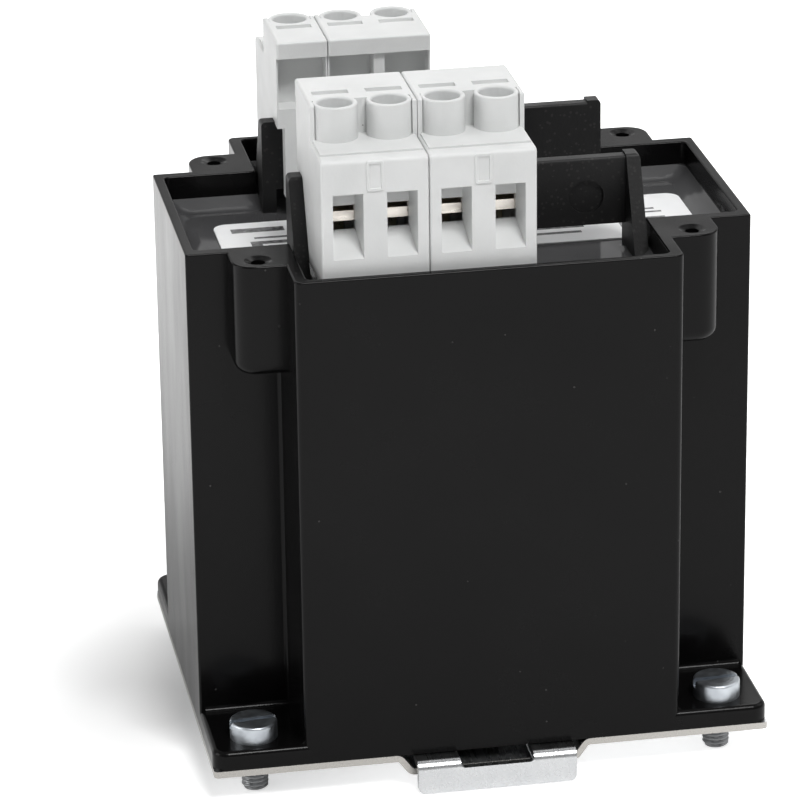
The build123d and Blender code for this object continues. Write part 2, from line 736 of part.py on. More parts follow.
nodes = {}
front_blocks = block_places(front_pole_counts)
rear_blocks = block_places(rear_pole_counts)
lead_top = block_base - bar_tail
front_poles = [x + dx for poles, x in front_blocks for dx in pole_centres(poles)]
rear_poles = [x + dx for poles, x in rear_blocks for dx in pole_centres(poles)]

secondary_half_x = tube_half_x + primary_build + layer_insulation
secondary_half_y = tube_half_y + primary_build + layer_insulation
wrap_half_x = secondary_half_x + secondary_build
wrap_half_y = secondary_half_y + secondary_build
coil_bottom = bobbin_bottom + bobbin_wall
coil_top = bobbin_top - bobbin_wall

nodes["core_e_stack"] = core_e_stack()
nodes["core_i_stack"] = core_i_stack()
nodes["bobbin"] = bobbin([(x, lead_row) for x in rear_poles])
nodes["primary_winding"] = ring(
    tube_half_x, tube_half_y, winding_corner, primary_build, coil_bottom, coil_top
)
nodes["layer_insulation"] = ring(
    tube_half_x + primary_build,
    tube_half_y + primary_build,
    winding_corner + primary_build,
    layer_insulation,
    coil_bottom,
    coil_top,
)
secondary_corner = winding_corner + primary_build + layer_insulation
nodes["secondary_winding"] = ring(
    secondary_half_x, secondary_half_y, secondary_corner, secondary_build, coil_bottom, coil_top
)
nodes["coil_wrap"] = ring(
    wrap_half_x, wrap_half_y, secondary_corner + secondary_build, layer_insulation, coil_bottom, coil_top
)
wrap_face = wrap_half_y + layer_insulation
primary_leads = [straight_lead(x, lead_row, lead_top) for x in rear_poles]
secondary_leads = [bent_lead(x, -lead_row, lead_top, wrap_face) for x in front_poles]
nodes["primary_leads"] = primary_leads
nodes["secondary_leads"] = secondary_leads

front_rail = terminal_rail()
rear_rail = Rot(0, 0, 180) * front_rail
nodes["front_terminal_rail"] = front_rail
nodes["rear_terminal_rail"] = rear_rail
nodes["housing"] = housing()
nodes["potting_resin"] = potting_resin(primary_leads + secondary_leads + [front_rail, rear_rail])
nodes["rating_label"] = rating_label()
nodes["base_plate"] = base_plate()
nodes["rail_latch"] = rail_latch()
nodes["latch_spring"] = latch_spring()
nodes["plate_screws"] = plate_screws()

bodies = {count: terminal_block(count) for count in front_pole_counts + rear_pole_counts}
cage = clamp_cage()
bar = contact_bar()
screw = clamp_screw()
rows = (("front", front_blocks, front_poles, at_front), ("rear", rear_blocks, rear_poles, at_rear))
for row, blocks, poles, place in rows:
    for i, (count, x) in enumerate(blocks, 1):
        nodes[f"{row}_terminal_{i}"] = place(x) * bodies[count]
    for i, x in enumerate(poles, 1):
        nodes[f"{row}_clamp_cage_{i}"] = place(x) * cage
        nodes[f"{row}_clamp_screw_{i}"] = place(x) * screw
        nodes[f"{row}_contact_bar_{i}"] = place(x) * bar

os.makedirs("parts", exist_ok=True)
for name, shape in nodes.items():
    solids = shape if isinstance(shape, list) else [shape]
    export_step(Compound(children=[s for piece in solids for s in piece.solids()]), f"parts/{name}.step")
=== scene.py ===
import bpy
import bmesh
import json
import math
from mathutils import Matrix, Vector


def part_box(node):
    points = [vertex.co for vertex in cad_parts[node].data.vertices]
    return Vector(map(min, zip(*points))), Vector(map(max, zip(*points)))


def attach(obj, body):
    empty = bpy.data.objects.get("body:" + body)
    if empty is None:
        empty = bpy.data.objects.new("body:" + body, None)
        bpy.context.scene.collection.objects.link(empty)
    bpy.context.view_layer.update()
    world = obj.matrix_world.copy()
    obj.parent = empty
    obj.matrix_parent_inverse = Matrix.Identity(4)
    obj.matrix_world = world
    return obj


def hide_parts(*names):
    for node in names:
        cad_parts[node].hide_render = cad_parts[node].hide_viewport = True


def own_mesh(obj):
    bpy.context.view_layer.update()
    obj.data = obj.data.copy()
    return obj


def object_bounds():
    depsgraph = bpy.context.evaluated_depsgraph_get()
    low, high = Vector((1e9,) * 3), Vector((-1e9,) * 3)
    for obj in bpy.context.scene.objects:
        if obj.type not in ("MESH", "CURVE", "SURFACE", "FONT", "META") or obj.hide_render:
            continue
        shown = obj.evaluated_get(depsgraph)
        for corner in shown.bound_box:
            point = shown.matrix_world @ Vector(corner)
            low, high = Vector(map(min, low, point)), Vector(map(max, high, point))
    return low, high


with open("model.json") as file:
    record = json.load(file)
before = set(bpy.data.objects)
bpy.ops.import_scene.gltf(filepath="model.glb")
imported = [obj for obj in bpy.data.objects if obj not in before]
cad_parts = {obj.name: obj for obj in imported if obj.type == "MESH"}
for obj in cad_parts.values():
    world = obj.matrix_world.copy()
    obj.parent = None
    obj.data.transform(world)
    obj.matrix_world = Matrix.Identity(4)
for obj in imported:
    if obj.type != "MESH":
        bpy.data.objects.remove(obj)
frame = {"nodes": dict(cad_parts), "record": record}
nodes = frame["nodes"]
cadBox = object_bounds()
scene = bpy.context.scene
scene.view_settings.view_transform = "Standard"
mm = 0.001
print("frame loaded:", len(nodes), "nodes")


# camera on the photograph's line of sight
cameraSetup = {
    "target": (-9.136, 0.0, 55.898),  # mm
    "distance": 811.34,  # mm
    "azimuth": -9.93,  # degrees, as the next two
    "elevation": 21.678,
    "roll": -0.794,
    "lens": 199.94,
    "sensor": 36.0,
}


def placeCamera(setup):
    a, e, r = (math.radians(setup[k]) for k in ("azimuth", "elevation", "roll"))
    back = Vector((math.sin(a) * math.cos(e), -math.cos(a) * math.cos(e), math.sin(e)))
    side = Vector((math.cos(a), math.sin(a), 0.0))
    up = back.cross(side)
    right = side * math.cos(r) + up * math.sin(r)
    top = up * math.cos(r) - side * math.sin(r)
    place = (Vector(setup["target"]) + back * setup["distance"]) * mm
    lens = bpy.data.cameras.new("photoCamera")
    lens.lens = setup["lens"]
    lens.sensor_width = setup["sensor"]
    camera = bpy.data.objects.new("photoCamera", lens)
    camera.matrix_world = Matrix((
        (right.x, top.x, back.x, place.x),
        (right.y, top.y, back.y, place.y),
        (right.z, top.z, back.z, place.z),
        (0.0, 0.0, 0.0, 1.0),
    ))
    scene.collection.objects.link(camera)
    scene.camera = camera


placeCamera(cameraSetup)
print("camera placed")


# small helpers for node trees
def put(tree, kind, **settings):
    node = tree.nodes.new(kind)
    for key, value in settings.items():
        setattr(node, key, value)
    return node


def join(tree, start, end):
    tree.links.new(start, end)


def feed(tree, value, socket):
    if isinstance(value, (int, float)):
        socket.default_value = value
    elif isinstance(value, tuple):
        socket.default_value = (*value, 1.0)  # a colour
    else:
        join(tree, value, socket)


# helpers for finishes
def newFinish(name):
    finish = bpy.data.materials.new(name)
    finish.use_nodes = True
    tree = finish.node_tree
    return finish, tree, tree.nodes["Principled BSDF"]


def objectPoint(tree, move=(0, 0, 0), stretch=(1, 1, 1)):
    coords = put(tree, "ShaderNodeTexCoord")
    mapping = put(tree, "ShaderNodeMapping")
    mapping.inputs["Location"].default_value = move
    mapping.inputs["Scale"].default_value = stretch
    join(tree, coords.outputs["Object"], mapping.inputs["Vector"])
    return mapping.outputs["Vector"]


def noise(tree, point, scale, detail=3.0):
    node = put(tree, "ShaderNodeTexNoise")
    node.inputs["Scale"].default_value = scale
    node.inputs["Detail"].default_value = detail
    join(tree, point, node.inputs["Vector"])
    return node.outputs["Fac"]


def spread(tree, value, low, high, start=0.3, stop=0.7):
    node = put(tree, "ShaderNodeMapRange")
    node.inputs["From Min"].default_value = start
    node.inputs["From Max"].default_value = stop
    node.inputs["To Min"].default_value = low
    node.inputs["To Max"].default_value = high
    join(tree, value, node.inputs["Value"])
    return node.outputs["Result"]


def sums(tree, kind, *values):
    node = put(tree, "ShaderNodeMath", operation=kind)
    for value, socket in zip(values, node.inputs):
        feed(tree, value, socket)
    return node.outputs["Value"]


def blendColors(tree, share, first, second):
    node = put(tree, "ShaderNodeMix", data_type="RGBA")
    for value, slot in ((share, 0), (first, 6), (second, 7)):  # the colour sockets
        feed(tree, value, node.inputs[slot])
    return node.outputs[2]


def blendValues(tree, share, first, second):
    node = put(tree, "ShaderNodeMix", data_type="FLOAT")
    for value, slot in ((share, 0), (first, 2), (second, 3)):  # the number sockets
        feed(tree, value, node.inputs[slot])
    return node.outputs[0]


def cloudy(tree, point, look, detail):
    cloud = noise(tree, point, look["cloudScale"], detail)
    return blendColors(tree, spread(tree, cloud, 0.0, 1.0), look["dark"], look["light"])


def raised(tree, height, depth, strength=1.0, under=None):
    node = put(tree, "ShaderNodeBump")
    node.inputs["Strength"].default_value = strength
    node.inputs["Distance"].default_value = depth
    join(tree, height, node.inputs["Height"])
    if under is not None:
        join(tree, under, node.inputs["Normal"])
    return node.outputs["Normal"]


def specks(tree, point, look):
    cells = put(tree, "ShaderNodeTexVoronoi")  # a few cells hold one round speck each
    cells.inputs["Scale"].default_value = look["speckScale"]
    join(tree, point, cells.inputs["Vector"])
    near = sums(tree, "LESS_THAN", cells.outputs["Distance"], look["speckSize"])
    split = put(tree, "ShaderNodeSeparateColor")
    join(tree, cells.outputs["Color"], split.inputs["Color"])
    chosen = sums(tree, "LESS_THAN", split.outputs["Red"], look["speckShare"])
    return sums(tree, "MULTIPLY", near, chosen)


# black mouldings: the housing is satin, the terminal rails are drier and speckled
blackMouldings = {
    "housing": {
        "dark": (0.0026, 0.0025, 0.0026),
        "light": (0.0038, 0.0036, 0.0037),
        "dust": (0.05, 0.049, 0.048),
        "ior": 1.22,
        "rough": (0.17, 0.25),
        "cloudScale": 60.0,
        "flowScale": 90.0,
        "grainScale": 2600.0,
        "grainDepth": 0.000012,
        "speckScale": 420.0,
        "speckSize": 0.07,
        "speckShare": 0.15,
    },
    "rail": {
        "dark": (0.0040, 0.0040, 0.0042),
        "light": (0.0085, 0.0083, 0.0085),
        "dust": (0.019, 0.0185, 0.018),
        "ior": 1.38,
        "rough": (0.44, 0.60),
        "cloudScale": 60.0,
        "flowScale": 90.0,
        "grainScale": 1700.0,
        "grainDepth": 0.00004,
        "speckScale": 1100.0,
        "speckSize": 0.28,
        "speckShare": 0.60,
    },
}
flowStretch = (1, 1, 0.25)  # the melt's marks run upright


def blackPlastic(name, look):
    finish, tree, shader = newFinish(name)
    point = objectPoint(tree)
    base = cloudy(tree, point, look, 4.0)
    dust = specks(tree, point, look)
    join(tree, blendColors(tree, dust, base, look["dust"]), shader.inputs["Base Color"])
    flow = noise(tree, objectPoint(tree, stretch=flowStretch), look["flowScale"], 5.0)
    join(tree, spread(tree, flow, *look["rough"]), shader.inputs["Roughness"])
    grain = noise(tree, point, look["grainScale"], 2.0)
    join(tree, raised(tree, grain, look["grainDepth"]), shader.inputs["Normal"])
    shader.inputs["IOR"].default_value = look["ior"]
    return finish


# potting resin: poured, glossy, with faint waves, its specks are pinholes, coloured dark as painted shade in
# the pits
resinLook = {
    "dark": (0.058, 0.058, 0.060),
    "light": (0.086, 0.086, 0.088),
    "pinholeShade": (0.02, 0.02, 0.02),
    "ior": 1.6,
    "rough": (0.05, 0.10),
    "roughScale": 120.0,
    "cloudScale": 30.0,
    "waveScale": 55.0,
    "waveDepth": 0.0009,
    "waveStrength": 0.5,
    "speckScale": 160.0,
    "speckSize": 0.05,
    "speckShare": 0.2,
    "pinholeDepth": 0.0002,
    "pinholeStrength": 0.6,
}


def pouredResin(name, look):
    finish, tree, shader = newFinish(name)
    point = objectPoint(tree)
    base = cloudy(tree, point, look, 3.0)
    pins = specks(tree, point, look)
    # painted shade: the pinholes take a near-black colour as well as a dent
    join(tree, blendColors(tree, pins, base, look["pinholeShade"]), shader.inputs["Base Color"])
    join(tree, spread(tree, noise(tree, point, look["roughScale"]), *look["rough"]), shader.inputs["Roughness"])
    swell = noise(tree, point, look["waveScale"], 1.0)
    wave = raised(tree, swell, look["waveDepth"], look["waveStrength"])
    solid = sums(tree, "SUBTRACT", 1.0, pins)
    pitted = raised(tree, solid, look["pinholeDepth"], look["pinholeStrength"], wave)
    join(tree, pitted, shader.inputs["Normal"])
    shader.inputs["IOR"].default_value = look["ior"]
    return finish


# light grey terminals: fine moulded grain, a little dust in it
terminalLook = {
    "light": (0.755, 0.762, 0.758),
    "dark": (0.690, 0.698, 0.694),
    "dust": (0.42, 0.41, 0.40),
    "ior": 1.46,
    "rough": (0.36, 0.50),
    "roughScale": 240.0,
    "cloudScale": 110.0,
    "grainScale": 2200.0,
    "grainDepth": 0.000016,
    "speckScale": 260.0,
    "speckSize": 0.04,
    "speckShare": 0.03,
}


def greyTerminal(name, look):
    finish, tree, shader = newFinish(name)
    point = objectPoint(tree)
    base = cloudy(tree, point, look, 4.0)
    dust = specks(tree, point, look)
    join(tree, blendColors(tree, dust, base, look["dust"]), shader.inputs["Base Color"])
    join(tree, spread(tree, noise(tree, point, look["roughScale"]), *look["rough"]), shader.inputs["Roughness"])
    grain = noise(tree, point, look["grainScale"], 2.0)
    join(tree, raised(tree, grain, look["grainDepth"]), shader.inputs["Normal"])
    shader.inputs["IOR"].default_value = look["ior"]
    return finish


# plated and bare metals: streaks run along one axis, clouds tint the plating
zincSheet = {
    "light": (0.66, 0.668, 0.674), "dark": (0.61, 0.62, 0.63), "rough": (0.25, 0.30),
    "streak": (1.0, 0.06, 1.0), "streakScale": 900.0, "streakDepth": 0.000001, "cloudScale": 220.0,
}
metals = {
    "zincSheet": zincSheet,
    "zincPlate": {  # the same sheet with bare cut edges
        **zincSheet,
        "cutEdge": (0.46, 0.445, 0.42),
        "edgeSpan": (0.2, 0.4),  # upward share of the normal over which the bare edge gives way
    },
    "clampZinc": {
        "light": (0.60, 0.635, 0.67), "dark": (0.48, 0.515, 0.55), "rough": (0.26, 0.40),
        "streak": (0.1, 1.0, 1.0), "streakScale": 1800.0, "streakDepth": 0.000008, "cloudScale": 420.0,
    },
    "clampNickel": {
        "light": (0.74, 0.70, 0.64), "dark": (0.52, 0.49, 0.45), "rough": (0.24, 0.42),
        "streak": (0.08, 1.0, 1.0), "streakScale": 1500.0, "streakDepth": 0.00001, "cloudScale": 300.0,
    },
    "contactBrass": {
        "light": (0.78, 0.70, 0.55), "dark": (0.60, 0.50, 0.34), "rough": (0.25, 0.45),
        "streak": (1.0, 0.06, 1.0), "streakScale": 1500.0, "streakDepth": 0.00001, "cloudScale": 260.0,
    },
    "springSteel": {
        "light": (0.46, 0.46, 0.48), "dark": (0.28, 0.28, 0.30), "rough": (0.22, 0.40),
        "streak": (1.0, 1.0, 1.0), "streakScale": 2400.0, "streakDepth": 0.000006, "cloudScale": 500.0,
    },
}


def platedMetal(name):
    look = metals[name]
    finish, tree, shader = newFinish(name)
    base = cloudy(tree, objectPoint(tree), look, 4.0)
    if "cutEdge" in look:
        facing = put(tree, "ShaderNodeSeparateXYZ")
        join(tree, put(tree, "ShaderNodeTexCoord").outputs["Normal"], facing.inputs["Vector"])
        edge = spread(tree, sums(tree, "ABSOLUTE", facing.outputs["Z"]), 1.0, 0.0, *look["edgeSpan"])
        base = blendColors(tree, edge, base, look["cutEdge"])
    join(tree, base, shader.inputs["Base Color"])
    streak = noise(tree, objectPoint(tree, stretch=look["streak"]), look["streakScale"], 2.0)
    join(tree, spread(tree, streak, *look["rough"]), shader.inputs["Roughness"])
    join(tree, raised(tree, streak, look["streakDepth"]), shader.inputs["Normal"])
    shader.inputs["Metallic"].default_value = 1.0
    return finish


# plate screws' finish: blue zinc with turned rings, read from each screw's own point attribute
screwLook = {
    "light": (0.58, 0.615, 0.65),
    "dark": (0.47, 0.50, 0.535),
    "thread": (0.28, 0.285, 0.29),
    "threadTop": (0.003, 0.005),  # heights between which the darker tone below gives way to the plated one
    "rough": (0.31, 0.43),
    "roughScale": 900.0,
    "cloudScale": 300.0,
    "ringScale": 433.3333,
    "ringWobble": 0.6,
    "ringDepth": 0.000012,
}


def turnedZinc(name, look, attribute):
    finish, tree, shader = newFinish(name)
    point = objectPoint(tree)
    local = put(tree, "ShaderNodeAttribute", attribute_name=attribute).outputs["Vector"]
    plated = cloudy(tree, point, look, 3.0)
    along = put(tree, "ShaderNodeSeparateXYZ")
    join(tree, local, along.inputs["Vector"])
    # the screw is coloured darker below these heights
    darkerBelow = spread(tree, along.outputs["Z"], 1.0, 0.0, *look["threadTop"])
    join(tree, blendColors(tree, darkerBelow, plated, look["thread"]), shader.inputs["Base Color"])
    rings = put(tree, "ShaderNodeTexWave", wave_type="RINGS", rings_direction="Z")
    rings.inputs["Scale"].default_value = look["ringScale"]
    rings.inputs["Distortion"].default_value = look["ringWobble"]
    join(tree, local, rings.inputs["Vector"])
    join(tree, spread(tree, noise(tree, point, look["roughScale"]), *look["rough"]), shader.inputs["Roughness"])
    join(tree, raised(tree, rings.outputs["Fac"], look["ringDepth"]), shader.inputs["Normal"])
    shader.inputs["Metallic"].default_value = 1.0
    return finish


# wound copper and stacked steel, under the resin
coilLook = {
    "light": (0.62, 0.27, 0.12), "dark": (0.34, 0.11, 0.04), "rough": (0.24, 0.36),
    "layer": 0.9, "axis": "Z", "metallic": 0.8,  # layer in mm
}
coreLook = {
    "light": (0.30, 0.30, 0.31), "dark": (0.10, 0.10, 0.11), "rough": (0.40, 0.60),
    "layer": 0.5, "axis": "Y", "metallic": 0.9,
}
layerLines = {"wobble": 0.2, "depth": 0.00015, "cloudScale": 200.0, "cloudShade": (0.6, 1.0)}


def layered(name, look, lines):
    finish, tree, shader = newFinish(name)
    bands = put(tree, "ShaderNodeTexWave", wave_type="BANDS", bands_direction=look["axis"], wave_profile="SIN")
    bands.inputs["Scale"].default_value = math.pi / (10.0 * look["layer"] * mm)  # one band to a layer
    bands.inputs["Distortion"].default_value = lines["wobble"]
    join(tree, objectPoint(tree), bands.inputs["Vector"])
    cloud = noise(tree, objectPoint(tree), lines["cloudScale"], 3.0)
    share = sums(tree, "MULTIPLY", bands.outputs["Fac"], spread(tree, cloud, *lines["cloudShade"]))
    join(tree, blendColors(tree, share, look["dark"], look["light"]), shader.inputs["Base Color"])
    join(tree, raised(tree, bands.outputs["Fac"], lines["depth"]), shader.inputs["Normal"])
    join(tree, spread(tree, cloud, *look["rough"]), shader.inputs["Roughness"])
    shader.inputs["Metallic"].default_value = look["metallic"]
    return finish


# plain inner plastics
innerGrain = {"cloudScale": 180.0, "roughScale": 400.0, "grainScale": 1800.0, "grainDepth": 0.00002}
innerLooks = {
    "bobbinPlastic": {"light": (0.56, 0.55, 0.51), "dark": (0.46, 0.45, 0.42), "rough": (0.45, 0.6)},
    "insulationFilm": {"light": (0.80, 0.71, 0.48), "dark": (0.68, 0.58, 0.36), "rough": (0.3, 0.45)},
    "leadSleeve": {"light": (0.27, 0.27, 0.28), "dark": (0.19, 0.19, 0.20), "rough": (0.5, 0.65)},
}


def innerPlastic(name):
    look = {**innerGrain, **innerLooks[name]}
    finish, tree, shader = newFinish(name)
    point = objectPoint(tree)
    join(tree, cloudy(tree, point, look, 4.0), shader.inputs["Base Color"])
    join(tree, spread(tree, noise(tree, point, look["roughScale"]), *look["rough"]), shader.inputs["Roughness"])
    grain = noise(tree, point, look["grainScale"])
    join(tree, raised(tree, grain, look["grainDepth"]), shader.inputs["Normal"])
    return finish


# label: white film with plain dark bars and blocks in place of print
labelLook = {
    "light": (0.93, 0.935, 0.94),
    "dark": (0.88, 0.885, 0.89),
    "ink": (0.018, 0.018, 0.020),
    "wear": (0.75, 1.0),
    "wearScale": 1400.0,
    "rough": (0.28, 0.40),
    "roughScale": 300.0,
    "cloudScale": 90.0,
    "grainScale": 900.0,
    "grainDepth": 0.00001,
    "fields": [  # centre x, centre y, width, depth in mm from the label's middle
        (-35.3, 6.9, 9.6, 2.3),
        (-29.0, 2.6, 15.0, 0.9),
        (-19.0, 2.6, 3.6, 0.9),
        (-31.0, -4.0, 13.0, 9.6),
        (-20.0, -4.0, 5.0, 9.6),
        (9.0, 5.0, 18.0, 0.9),
        (9.0, 2.6, 24.0, 0.9),
        (6.0, 0.2, 18.0, 0.9),
        (12.0, -3.4, 21.0, 1.1),
        (12.0, -6.2, 19.0, 1.1),
        (33.5, 3.4, 7.0, 0.8),
        (33.5, 1.6, 9.0, 0.8),
        (33.5, -4.0, 9.0, 6.0),
    ],
    "clearings": [(-31.0, -4.0, 9.0, 6.4), (33.5, -4.0, 7.4, 4.4)],
    "islands": [(-31.0, -4.0, 5.0, 2.4), (33.5, -4.0, 3.4, 1.4)],
}


def printedLabel(name, look):
    low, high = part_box("rating_label")
    middle = [(a + b) / 2 for a, b in zip(low, high)]
    finish, tree, shader = newFinish(name)
    point = objectPoint(tree, move=(-middle[0], -middle[1], 0.0))
    parts = put(tree, "ShaderNodeSeparateXYZ")
    join(tree, point, parts.inputs["Vector"])

    def field(x, y, width, depth):
        acrossX = sums(tree, "COMPARE", parts.outputs["X"], x * mm, width / 2 * mm)
        acrossY = sums(tree, "COMPARE", parts.outputs["Y"], y * mm, depth / 2 * mm)
        return sums(tree, "MULTIPLY", acrossX, acrossY)

    def anyOf(boxes):
        total = field(*boxes[0])
        for item in boxes[1:]:
            total = sums(tree, "MAXIMUM", total, field(*item))
        return total

    ink = sums(tree, "SUBTRACT", anyOf(look["fields"]), anyOf(look["clearings"]))
    ink = sums(tree, "MAXIMUM", ink, anyOf(look["islands"]))
    wear = spread(tree, noise(tree, point, look["wearScale"]), *look["wear"])
    film = cloudy(tree, point, look, 4.0)
    printed = blendColors(tree, sums(tree, "MULTIPLY", ink, wear), film, look["ink"])
    join(tree, printed, shader.inputs["Base Color"])
    join(tree, spread(tree, noise(tree, point, look["roughScale"]), *look["rough"]), shader.inputs["Roughness"])
    grain = noise(tree, point, look["grainScale"])
    join(tree, raised(tree, grain, look["grainDepth"]), shader.inputs["Normal"])
    return finish


finishes = {
    "housing_black": blackPlastic("housingBlack", blackMouldings["housing"]),
    "rail_black": blackPlastic("railBlack", blackMouldings["rail"]),
    "resin_grey": pouredResin("resinGrey", resinLook),
    "label_white": printedLabel("labelWhite", labelLook),
    "terminal_grey": greyTerminal("terminalGrey", terminalLook),
    "zinc_sheet": platedMetal("zincSheet"),
    "clamp_metal": platedMetal("clampNickel"),
    "contact_brass": platedMetal("contactBrass"),
    "spring_steel": platedMetal("springSteel"),
    "zinc_screw": platedMetal("clampZinc"),
    "core_steel": layered("coreSteel", coreLook, layerLines),
    "winding_copper": layered("windingCopper", coilLook, layerLines),
    "bobbin_plastic": innerPlastic("bobbinPlastic"),
    "insulation_film": innerPlastic("insulationFilm"),
    "lead_sleeve": innerPlastic("leadSleeve"),
}
for part in frame["record"]["subparts"]:
    surface = nodes[part["node"]].data
    surface.materials.clear()
    surface.materials.append(finishes[part["material_slot"]])
nodes["base_plate"].data.materials[0] = platedMetal("zincPlate")
print("finishes assigned:", len(finishes))


# helpers for node trees that make repeated pieces
def newTree(name, inputs):
    tree = bpy.data.node_groups.new(name, "GeometryNodeTree")
    sockets = tree.interface
    sockets.new_socket("Geometry", in_out="INPUT", socket_type="NodeSocketGeometry")
    for label, (kind, value) in inputs.items():
        sockets.new_socket(label, in_out="INPUT", socket_type="NodeSocket" + kind).default_value = value
    sockets.new_socket("Geometry", in_out="OUTPUT", socket_type="NodeSocketGeometry")
    return tree, put(tree, "NodeGroupInput").outputs, put(tree, "NodeGroupOutput").inputs


def closeTree(tree, geometry, finish, output):
    real = put(tree, "GeometryNodeRealizeInstances")
    paint = put(tree, "GeometryNodeSetMaterial")
    paint.inputs["Material"].default_value = finish
    join(tree, geometry, real.inputs["Geometry"])
    join(tree, real.outputs["Geometry"], paint.inputs["Geometry"])
    join(tree, paint.outputs["Geometry"], output["Geometry"])


def growPiece(name, tree, inputs, source=None):
    piece = bpy.data.objects.new(name, source or bpy.data.meshes.new(name + "Seed"))
    scene.collection.objects.link(piece)
    grower = piece.modifiers.new("grow", "NODES")
    grower.node_group = tree
    for item in tree.interface.items_tree:
        if item.item_type == "SOCKET" and item.in_out == "INPUT" and item.name in inputs:
            grower[item.identifier] = inputs[item.name][1]
    ready = piece.evaluated_get(bpy.context.evaluated_depsgraph_get())
    mesh = bpy.data.meshes.new_from_object(ready)
    mesh.name = name
    piece.modifiers.clear()
    piece.data = mesh
    return piece


def shadeByAngle(mesh, degrees):
    mesh.shade_smooth()
    mesh.set_sharp_from_angle(angle=math.radians(degrees))


# plate screws: slotted cheese heads with a cut thread, four of one seed
plateScrew = {
    "lengths": {  # mm
        "headRadius": 4.25,
        "headHeight": 3.3,
        "headEdge": 0.5,
        "slotWidth": 1.2,
        "slotDepth": 1.4,
        "crest": 2.42,  # thread's outer radius
        "root": 2.05,
        "pitch": 0.8,
        "tipEdge": 0.45,
    },
    "sides": 40,
    "rowsPerTurn": 8,
    "edgeSteps": 5,
    "flank": (1.35, -0.1),  # steepness and shift of the thread's ridge
    "smoothAngle": 40.0,
    "swing": 0.12,  # largest turn of a slot away from the part's width, in radians
    "seed": 3,
}


def screwOutline(setup, size, headBase, tip):
    count = setup["sides"]
    steep, shift = setup["flank"]
    span = headBase - tip
    rows = int(span / size["pitch"] * setup["rowsPerTurn"])
    for row in range(rows + 1):
        z = tip + span * row / rows
        radii = []
        for i in range(count):
            phase = ((z - tip) / size["pitch"] - i / count) % 1.0
            ridge = 1.0 - abs(2.0 * phase - 1.0)
            rise = min(1.0, max(0.0, ridge * steep + shift))
            radius = size["root"] + (size["crest"] - size["root"]) * rise
            radii.append(radius - max(0.0, size["tipEdge"] - (z - tip)))
        yield radii, z
    edge = size["headEdge"]
    inner = size["headRadius"] - edge
    shoulder = headBase + size["headHeight"] - edge
    yield [size["headRadius"]] * count, headBase
    for step in range(setup["edgeSteps"] + 1):
        bend = math.pi / 2 * step / setup["edgeSteps"]
        yield [inner + edge * math.cos(bend)] * count, shoulder + edge * math.sin(bend)


def screwSeed(setup, size, headBase, tip):
    mesh = bmesh.new()
    count = setup["sides"]
    angles = [2 * math.pi * i / count for i in range(count)]
    rows = [
        [mesh.verts.new((r * math.cos(a), r * math.sin(a), z)) for r, a in zip(radii, angles)]
        for radii, z in screwOutline(setup, size, headBase, tip)
    ]
    for low, high in zip(rows, rows[1:]):
        for i in range(count):
            j = (i + 1) % count
            mesh.faces.new((low[i], low[j], high[j], high[i]))
    mesh.faces.new(list(reversed(rows[0])))
    mesh.faces.new(rows[-1])
    bmesh.ops.recalc_face_normals(mesh, faces=mesh.faces)
    shape = bpy.data.meshes.new("plateScrewSeed")
    mesh.to_mesh(shape)
    mesh.free()
    return shape


def cutSlot(shape, size, top):
    blank = bpy.data.objects.new("slotBlank", shape)
    scene.collection.objects.link(blank)
    cutter = bmesh.new()
    bmesh.ops.create_cube(cutter, size=1.0)
    reach = (3 * size["headRadius"], size["slotWidth"], 2 * size["slotDepth"])  # stands out past the head
    bmesh.ops.scale(cutter, verts=cutter.verts, vec=reach)
    bmesh.ops.translate(cutter, verts=cutter.verts, vec=(0.0, 0.0, top))
    tool = bpy.data.objects.new("slotTool", bpy.data.meshes.new("slotTool"))
    cutter.to_mesh(tool.data)
    cutter.free()
    scene.collection.objects.link(tool)
    cut = blank.modifiers.new("slot", "BOOLEAN")
    cut.operation = "DIFFERENCE"
    cut.object = tool
    cut.solver = "EXACT"
    done = bpy.data.meshes.new_from_object(blank.evaluated_get(bpy.context.evaluated_depsgraph_get()))
    bpy.data.objects.remove(blank)
    bpy.data.objects.remove(tool)
    return done


